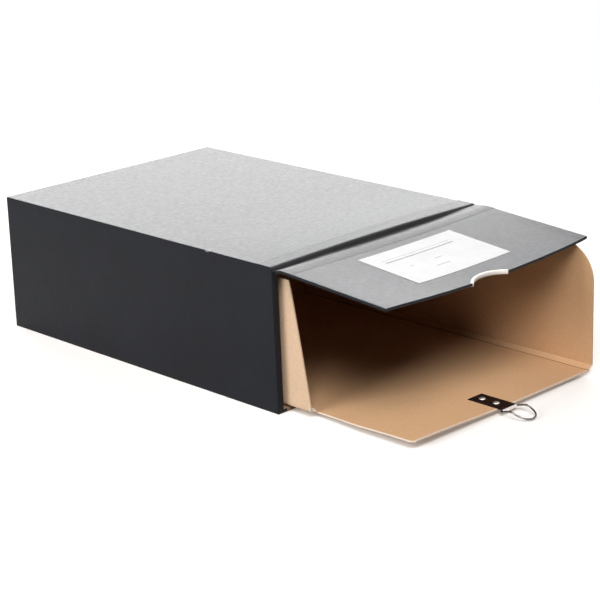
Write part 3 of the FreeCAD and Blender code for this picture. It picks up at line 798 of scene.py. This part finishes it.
# each torn flake's height, and its lean, as shares
FLAKES = (0.2, 0.1), (0.7, 0.5), (1.0, -0.5), (0.45, -0.9), (0.8, 0.4), (0.4, -0.7), (0.6, -0.2), (0.2, 0.3)
FLAKE_THICK = 0.3 * MM
# a rivet's outline from the middle of its crown, in millimetres: radius, height above the tab
RIVET = ((0, 0.82), (0.25, 0.84), (0.5, 0.98), (0.8, 1.0), (1.5, 0.9), (2.1, 0.68), (2.55, 0.38),
         (2.75, 0.12), (2.8, -0.05), (1.3, -0.05), (1.3, -2.0), (0, -2.0))
RIVET_RADIUS = max(radius for radius, rise in RIVET)
# the wire's own radius, and how much further out and higher the ring's round end lies than the CAD ring's
WIRE = 0.8 * MM
RING_LONGER, RING_HIGHER = 2 * MM, 0.7 * MM


def is_cut_edge(face, upright):
    """Whether a face is the board's cut edge: a wall's top or the floor's front or side, and narrow."""
    across = face.normal.z > 0.9 if upright else max(abs(face.normal.x), abs(face.normal.y)) > 0.7
    return across and min(edge.calc_length() for edge in face.edges) < NARROW


def wear_floor(shape):
    """Wears the tip off the floor's free front corner, and cuts its top face along the front rim, which is
    painted paler as wear and as a highlight.
    """
    tip = Vector((TRAY_LOW.x, TRAY_LOW.y, 0))
    cut_plane(shape, tip + Vector((WORN_CORNER, WORN_CORNER, 0)), Vector((-1, -1, 0)), clear_outer=True)
    bmesh.ops.holes_fill(shape, edges=shape.edges, sides=0)
    cut_across(shape, 1, TRAY_LOW.y + RIM_WEAR_AND_HIGHLIGHT)


def tray_piece(node, rule=None, material=TAN):
    """A panel of the folded tray, its faces tan, its cut edges paler, and the floor's front rim paler as
    wear and as a painted highlight.
    """
    upright = node != "tray_floor"
    shape = whole_faces(node)
    if not upright:
        wear_floor(shape)
    slice_up(shape, 0, 10 * MM)
    slice_up(shape, 1, 12 * MM)
    shape.normal_update()
    bmesh.ops.recalc_face_normals(shape, faces=shape.faces)
    for face in shape.faces:
        # the floor's front rim on its top face takes the pale edge colour: wear and a painted highlight
        at_rim = face.normal.z > 0.5 and face.calc_center_median().y < TRAY_LOW.y + RIM_WEAR_AND_HIGHLIGHT
        face.material_index = int(is_cut_edge(face, upright) or not upright and at_rim)
    if rule:
        bend(shape, rule)
    piece = new_piece(node + "_board", "tray", material)
    piece.data.materials.append(TAN_EDGE)
    fill(piece, shape)
    round_edges(piece, TRAY_ROUND)
    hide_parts(node)


def painted_crease_shade(node, rule):
    """Painted shade: dark lines laid just off the board on both sides of a wall's sloping strip, along its
    creases.
    """
    shape = whole_faces(node)
    bmesh.ops.recalc_face_normals(shape, faces=shape.faces)
    side = math.copysign(1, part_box(node)[0].x)
    square_off = Vector((-side, 0, 1)).normalized()
    slope = next(face for face in shape.faces if face.normal.dot(square_off) > 0.99)
    corners = [vertex.co.copy() for vertex in slope.verts]
    shape.free()
    foot = min(corners, key=lambda spot: (round(spot.z, 5), spot.y))
    head = max(corners, key=lambda spot: (round(spot.z, 5), -spot.y))
    back = max(spot.y for spot in corners)
    lines = bmesh.new()
    # each line lies on the two faces that meet in its crease
    for spot, wide, first, second in (
            (foot, LOWER_CREASE, Vector((-side, 0, 0)), Vector((side, 0, 1)).normalized()),
            (head, UPPER_CREASE, Vector((-side, 0, -1)).normalized(), Vector((0, 0, 1)))):
        add_part(lines, grid([[rule(Vector((spot.x, y, spot.z)) + square_off * CREASE_LIFT + shift)
                               for y in spread(spot.y, back, 30)]
                              for shift in (first * wide, Vector((0, 0, 0)), second * wide)]))
    fill(new_piece(node.replace("_wall", "_crease_shade"), "tray", CREASE_SHADE_PAINT), lines)


def torn_fold(name, start, along, height):
    """The front end of a fold, where the board's outer layers have torn and stand up as pale flakes."""
    rows = [[], [], []]
    for number, (peak, lean) in enumerate(FLAKES):
        foot = start + along * (number / (len(FLAKES) - 1))
        rows[0].append(foot)
        rows[1].append(foot + Vector((-0.15 * lean, -0.3, 0)) * MM + Vector((0, 0, peak * height * 0.55)))
        rows[2].append(foot + Vector((0.5 * lean, -0.5 - 0.5 * lean, 0)) * MM
                       + Vector((0, 0, peak * height)))
    flakes = new_piece(name, "tray", TORN)
    fill(flakes, grid(rows), flat=True)
    body = flakes.modifiers.new("thickness", "SOLIDIFY")
    body.thickness = FLAKE_THICK
    body.offset = 0


def torn_folds():
    """The flakes at the front ends of both side walls' folds: where they start, their run and height."""
    left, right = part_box("tray_left_wall")[0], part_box("tray_right_wall")[1]
    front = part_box("tray_right_wall")[0].y
    torn_fold("tray_left_torn_fold",
              Vector((left.x + WALL_LEAN - 0.8 * MM, left.y + WALL_CUT + 1.6 * MM, 7.2 * MM)),
              Vector((5.2, -2.4, -1.6)) * MM, 4.3 * MM)
    torn_fold("tray_right_torn_fold",
              Vector((right.x - 0.3 * MM, front - 0.1 * MM, 8.4 * MM)),
              Vector((-5.6, -0.2, -3.6)) * MM, 1.8 * MM)


def pull_strip():
    """The enamelled tab with softened edges: bare metal where it curls round the wire."""
    shape = whole_faces("pull_tab")
    strip = new_piece("pull_tab_strip", "tray", ENAMEL)
    strip.data.materials.append(KNUCKLE)
    for face in shape.faces:
        face.material_index = int(face.calc_center_median().y < RING_AXIS.y)
    fill(strip, shape)
    round_edges(strip, TAB_ROUND)
    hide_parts("pull_tab")


def rivets():
    """Two domed rivets with a small dimple in the crown, turned about their axes."""
    low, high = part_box("tab_rivets")
    radius = (high.x - low.x) / 2
    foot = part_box("pull_tab")[1].z
    outline = [(r / RIVET_RADIUS * radius, foot + rise * MM) for r, rise in RIVET]
    shape = bmesh.new()
    for y in (low.y + radius, high.y - radius):
        add_part(shape, grid([[Vector((r * math.cos(turn), y + r * math.sin(turn), z))
                               for turn in spread(0, 2 * math.pi, 28)] for r, z in outline]))
    bmesh.ops.remove_doubles(shape, verts=shape.verts, dist=1e-6)
    pair = new_piece("domed_rivets", "tray", NICKEL)
    fill(pair, shape)
    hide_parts("tab_rivets")


def ring_wire():
    """The pull's wire: feet in the knuckle, legs that rise to a soft crank, a round end near the table."""
    low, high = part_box("pull_ring")
    half = high.x - WIRE
    reach = RING_AXIS.y - low.y - WIRE + RING_LONGER
    crest = high.z - WIRE - RING_AXIS.z
    dip = low.z + WIRE - RING_AXIS.z + RING_HIGHER
    # one side as (x, out from the axis, up from it): the foot, the leg, the crank, the round end
    side = [(half - foot * MM, 0, 0) for foot in (5.5, 3, 2, 1.3)]
    side += [(half - 0.1 * MM, 0.4 * MM, 0.1 * MM), (half, 2.4 * MM, crest * 0.25),
             (half, 6.5 * MM, crest * 0.68), (half * 0.99, 10 * MM, crest * 0.97),
             (half, 12.6 * MM, crest * 0.78),
             (half * 0.97, 15.6 * MM, crest * 0.35), (half * 0.82, reach - 4.2 * MM, dip * 0.35),
             (half * 0.48, reach - 1.1 * MM, dip * 0.85)]
    path = side + [(0, reach, dip)] + [(-x, out, up) for x, out, up in side[::-1]]
    curve = bpy.data.curves.new("ring_wire", "CURVE")
    curve.dimensions = "3D"
    curve.bevel_depth = WIRE
    curve.bevel_resolution = 4
    curve.use_fill_caps = True
    curve.resolution_u = 6
    spline = curve.splines.new("NURBS")
    spline.points.add(len(path) - 1)
    for point, (x, out, up) in zip(spline.points, path):
        point.co = (x, RING_AXIS.y - out, RING_AXIS.z + up, 1)
    spline.order_u = 4
    spline.use_endpoint_u = True
    wire = new_object("ring_wire", curve, STEEL_PAINTED_DARK)
    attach(wire, "ring")
    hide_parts("pull_ring")


def dress(node, material):
    """Gives a CAD node that keeps its shape its material."""
    data = NODES[node].data
    data.materials.clear()
    data.materials.append(material)


# ---------------------------------------------------------------- stage
def floor():
    """A white floor that the camera and mirrors see at full white, less the object's soft shadow."""
    bpy.ops.mesh.primitive_plane_add(size=FLOOR_SIZE)
    plane = bpy.context.object
    plane.name = "floor"
    material = bpy.data.materials.new("white_floor")
    material.use_nodes = True
    nodes = Nodes(material.node_tree)
    nodes.tree.nodes.clear()
    seen = nodes.rays("Camera", "Glossy")
    paint = nodes.node("ShaderNodeBsdfDiffuse", Color=nodes.span(seen, 0, 1, FLOOR_BOUNCE, FLOOR_SHOWN))
    glow = nodes.node("ShaderNodeEmission", Color=(*FLOOR_TINT, 1),
                      Strength=nodes.maths("MULTIPLY", seen, FLOOR_LIFT))
    near = nodes.shaders("ShaderNodeAddShader", paint.outputs[0], glow.outputs[0])
    far = nodes.node("ShaderNodeEmission", Strength=seen)
    place = nodes.node("ShaderNodeTexCoord").outputs["Object"]
    away = nodes.node("ShaderNodeVectorMath", {"operation": "LENGTH"}, Vector=place).outputs["Value"]
    fade = nodes.span(away, *FLOOR_FADE, kind="SMOOTHSTEP")
    nodes.node("ShaderNodeOutputMaterial",
               Surface=nodes.shaders("ShaderNodeMixShader", fade, near, far.outputs[0]))
    plane.data.materials.append(material)


def world():
    """A pale surround that shows white, and lights the object less than that."""
    made = bpy.data.worlds.new("studio")
    made.use_nodes = True
    bpy.context.scene.world = made
    nodes = Nodes(made.node_tree)
    back = nodes.tree.nodes["Background"]
    back.inputs["Color"].default_value = (1, 1, 1, 1)
    seen = nodes.rays("Camera", "Glossy", "Transmission")
    nodes.feed(back.inputs["Strength"], nodes.span(seen, 0, 1, WORLD_LIGHT, 1))


def softbox(name, place, target, size, power, colour):
    """A rectangular lamp that points at a target and isn't seen itself."""
    lamp = bpy.data.lights.new(name, "AREA")
    lamp.shape = "RECTANGLE"
    lamp.size, lamp.size_y = size
    lamp.energy = power
    lamp.color = colour
    stand = bpy.data.objects.new(name, lamp)
    bpy.context.scene.collection.objects.link(stand)
    stand.location = place
    stand.rotation_euler = (Vector(target) - Vector(place)).to_track_quat("-Z", "Y").to_euler()
    stand.visible_camera = False


def camera():
    """The camera, where the photograph's was found to stand."""
    eye = bpy.data.objects.new("camera", bpy.data.cameras.new("camera"))
    bpy.context.scene.collection.objects.link(eye)
    eye.data.lens = CAMERA_LENS
    eye.data.sensor_width = CAMERA_SENSOR
    turn = (Matrix.Rotation(math.radians(CAMERA_YAW), 4, "Z")
            @ Matrix.Rotation(math.radians(90 + CAMERA_PITCH), 4, "X")
            @ Matrix.Rotation(math.radians(CAMERA_ROLL), 4, "Z"))
    eye.matrix_world = Matrix.Translation(CAMERA_PLACE) @ turn
    bpy.context.scene.camera = eye


camera()
case_cover()
for board in ("left", "right", "bottom", "top", "back"):
    case_board(f"slipcase_{board}_board")
hinge_cloth()
flap_panel()
notch_channel()
title_label()
tray_piece("tray_floor", bend_floor)
tray_piece("tray_left_wall", lean_wall_board, TAN_PAINTED_LIGHT)
tray_piece("tray_right_wall", tighten_fold)
tray_piece("tray_back_wall")
painted_crease_shade("tray_left_wall", lean_wall)
painted_crease_shade("tray_right_wall", tighten_fold)
dress("tray_left_corner_tape", TAPE)
dress("tray_right_corner_tape", TAPE)
torn_folds()
pull_strip()
rivets()
ring_wire()

floor()
world()
for row in LAMPS:
    softbox(*row)

bpy.context.scene.view_settings.view_transform = "Standard"
